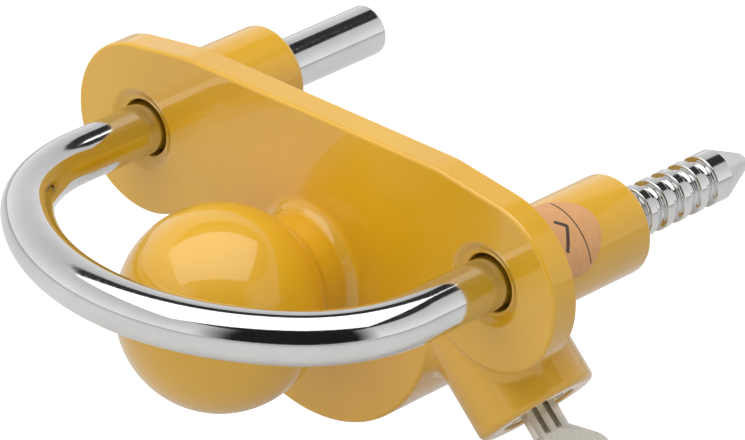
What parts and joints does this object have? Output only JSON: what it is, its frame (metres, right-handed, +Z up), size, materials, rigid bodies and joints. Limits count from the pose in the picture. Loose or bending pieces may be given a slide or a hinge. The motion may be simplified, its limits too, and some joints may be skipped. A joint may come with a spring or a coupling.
{
  "type": "trailer coupling ball lock",
  "caption": "Lock for an unhitched trailer coupling: a ball fills the socket, a notched U-shaped bar closes over it through a lobed plate, and an angled key cylinder bolts the bar.",
  "frame": {"origin": "centre of the ball that fills the coupling's socket", "axes": "+Y from the ball through the plate, along the bar's legs towards their free ends; +X towards the notched leg and the key; +Z up, across the plate, with the bar above the ball's centre"},
  "size_m": [0.1576, 0.1539, 0.0834],
  "materials": {
    "yellow_paint": "gloss powder coat, orange-yellow",
    "bar_chrome": "polished chrome plate",
    "lock_chrome": "satin chrome plate",
    "lock_brass": "machined brass, nickel flashed",
    "hard_steel": "hardened and ground",
    "spring_steel": "bright drawn wire and strip",
    "key_nickel": "nickel plated, lightly worn",
    "seal_rubber": "matte moulded",
    "label_film": "printed film, plain"
  },
  "bodies": {
    "lock_body": {"face_plate": "yellow_paint", "left_sleeve": "yellow_paint", "right_sleeve": "yellow_paint", "sleeve_welds": "yellow_paint", "hub_wall": "yellow_paint", "hub_back_plate": "yellow_paint", "coupler_ball": "yellow_paint", "lock_housing": "yellow_paint", "cylinder_shell": "lock_chrome", "shell_seal": "seal_rubber", "shell_retaining_pin": "spring_steel", "bolt_bore_stopper": "yellow_paint", "inspection_label": "label_film"},
    "shackle": {"shackle": "bar_chrome"},
    "plug": {"lock_plug": "lock_brass", "drive_cam": "hard_steel", "plug_clip": "spring_steel", "wafer_tumblers": "lock_brass", "wafer_springs": "spring_steel"},
    "bolt": {"locking_bolt": "hard_steel"},
    "key": {"key": "key_nickel"}
  },
  "joints": [
    {"name": "shackle_slide", "type": "slide", "parent": "lock_body", "child": "shackle", "axis": [0, -1, 0], "range_m": [-0.0055, 0.088]},
    {"name": "plug_turn", "type": "hinge", "parent": "lock_body", "child": "plug", "pos_m": [0.03828, 0.0428, -0.00132], "axis": [0.7071, 0, -0.7071], "range_deg": [0, 90]},
    {"name": "bolt_slide", "type": "slide", "parent": "lock_body", "child": "bolt", "axis": [0.7071, 0, 0.7071], "range_m": [0, 0.0026]},
    {"name": "key_slide", "type": "slide", "parent": "plug", "child": "key", "axis": [0.7071, 0, -0.7071], "range_m": [0, 0.034]}
  ],
  "couplings": [
    {"joint": "bolt_slide", "follows": "plug_turn", "m_per_rad": 0.0016552}
  ]
}
